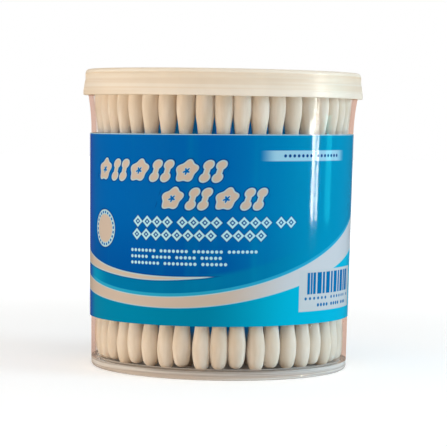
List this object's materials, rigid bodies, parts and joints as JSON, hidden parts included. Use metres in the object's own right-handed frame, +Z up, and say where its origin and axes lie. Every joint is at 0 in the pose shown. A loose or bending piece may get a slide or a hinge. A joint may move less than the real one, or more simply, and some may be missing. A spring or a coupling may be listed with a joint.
{
  "type": "cotton swab tub",
  "caption": "Round clear plastic tub with a translucent lift-off lid and a wrapped film label, packed with upright cotton swabs.",
  "frame": {"origin": "middle of the foot ring, on the surface that the tub stands on", "axes": "+Z up along the tub's axis, -Y towards the front of the label"},
  "size_m": [0.0752, 0.0752, 0.0793],
  "materials": {
    "clear_plastic": "clear",
    "frosted_plastic": "satin",
    "label_film": "printed film",
    "cotton": "soft cotton"
  },
  "bodies": {
    "container": {"tub": "clear_plastic", "label": "label_film", "swab_01": "cotton", "swab_02": "cotton", "swab_03": "cotton", "swab_04": "cotton", "swab_05": "cotton", "swab_06": "cotton", "swab_07": "cotton", "swab_08": "cotton", "swab_09": "cotton", "swab_10": "cotton", "swab_11": "cotton", "swab_12": "cotton", "swab_13": "cotton", "swab_14": "cotton", "swab_15": "cotton", "swab_16": "cotton", "swab_17": "cotton", "swab_18": "cotton", "swab_19": "cotton", "swab_20": "cotton", "swab_21": "cotton", "swab_22": "cotton", "swab_23": "cotton", "swab_24": "cotton", "swab_25": "cotton", "swab_26": "cotton", "swab_27": "cotton", "swab_28": "cotton", "swab_29": "cotton", "swab_30": "cotton", "swab_31": "cotton", "swab_32": "cotton", "swab_33": "cotton", "swab_34": "cotton", "swab_35": "cotton", "swab_36": "cotton", "swab_37": "cotton", "swab_38": "cotton", "swab_39": "cotton", "swab_40": "cotton", "swab_41": "cotton", "swab_42": "cotton", "inner_swabs": "cotton"},
    "lid": {"lid": "frosted_plastic"}
  },
  "joints": [
    {"name": "lid_lift", "type": "slide", "parent": "container", "child": "lid", "axis": [0, 0, 1], "range_m": [0, 0.045]}
  ]
}
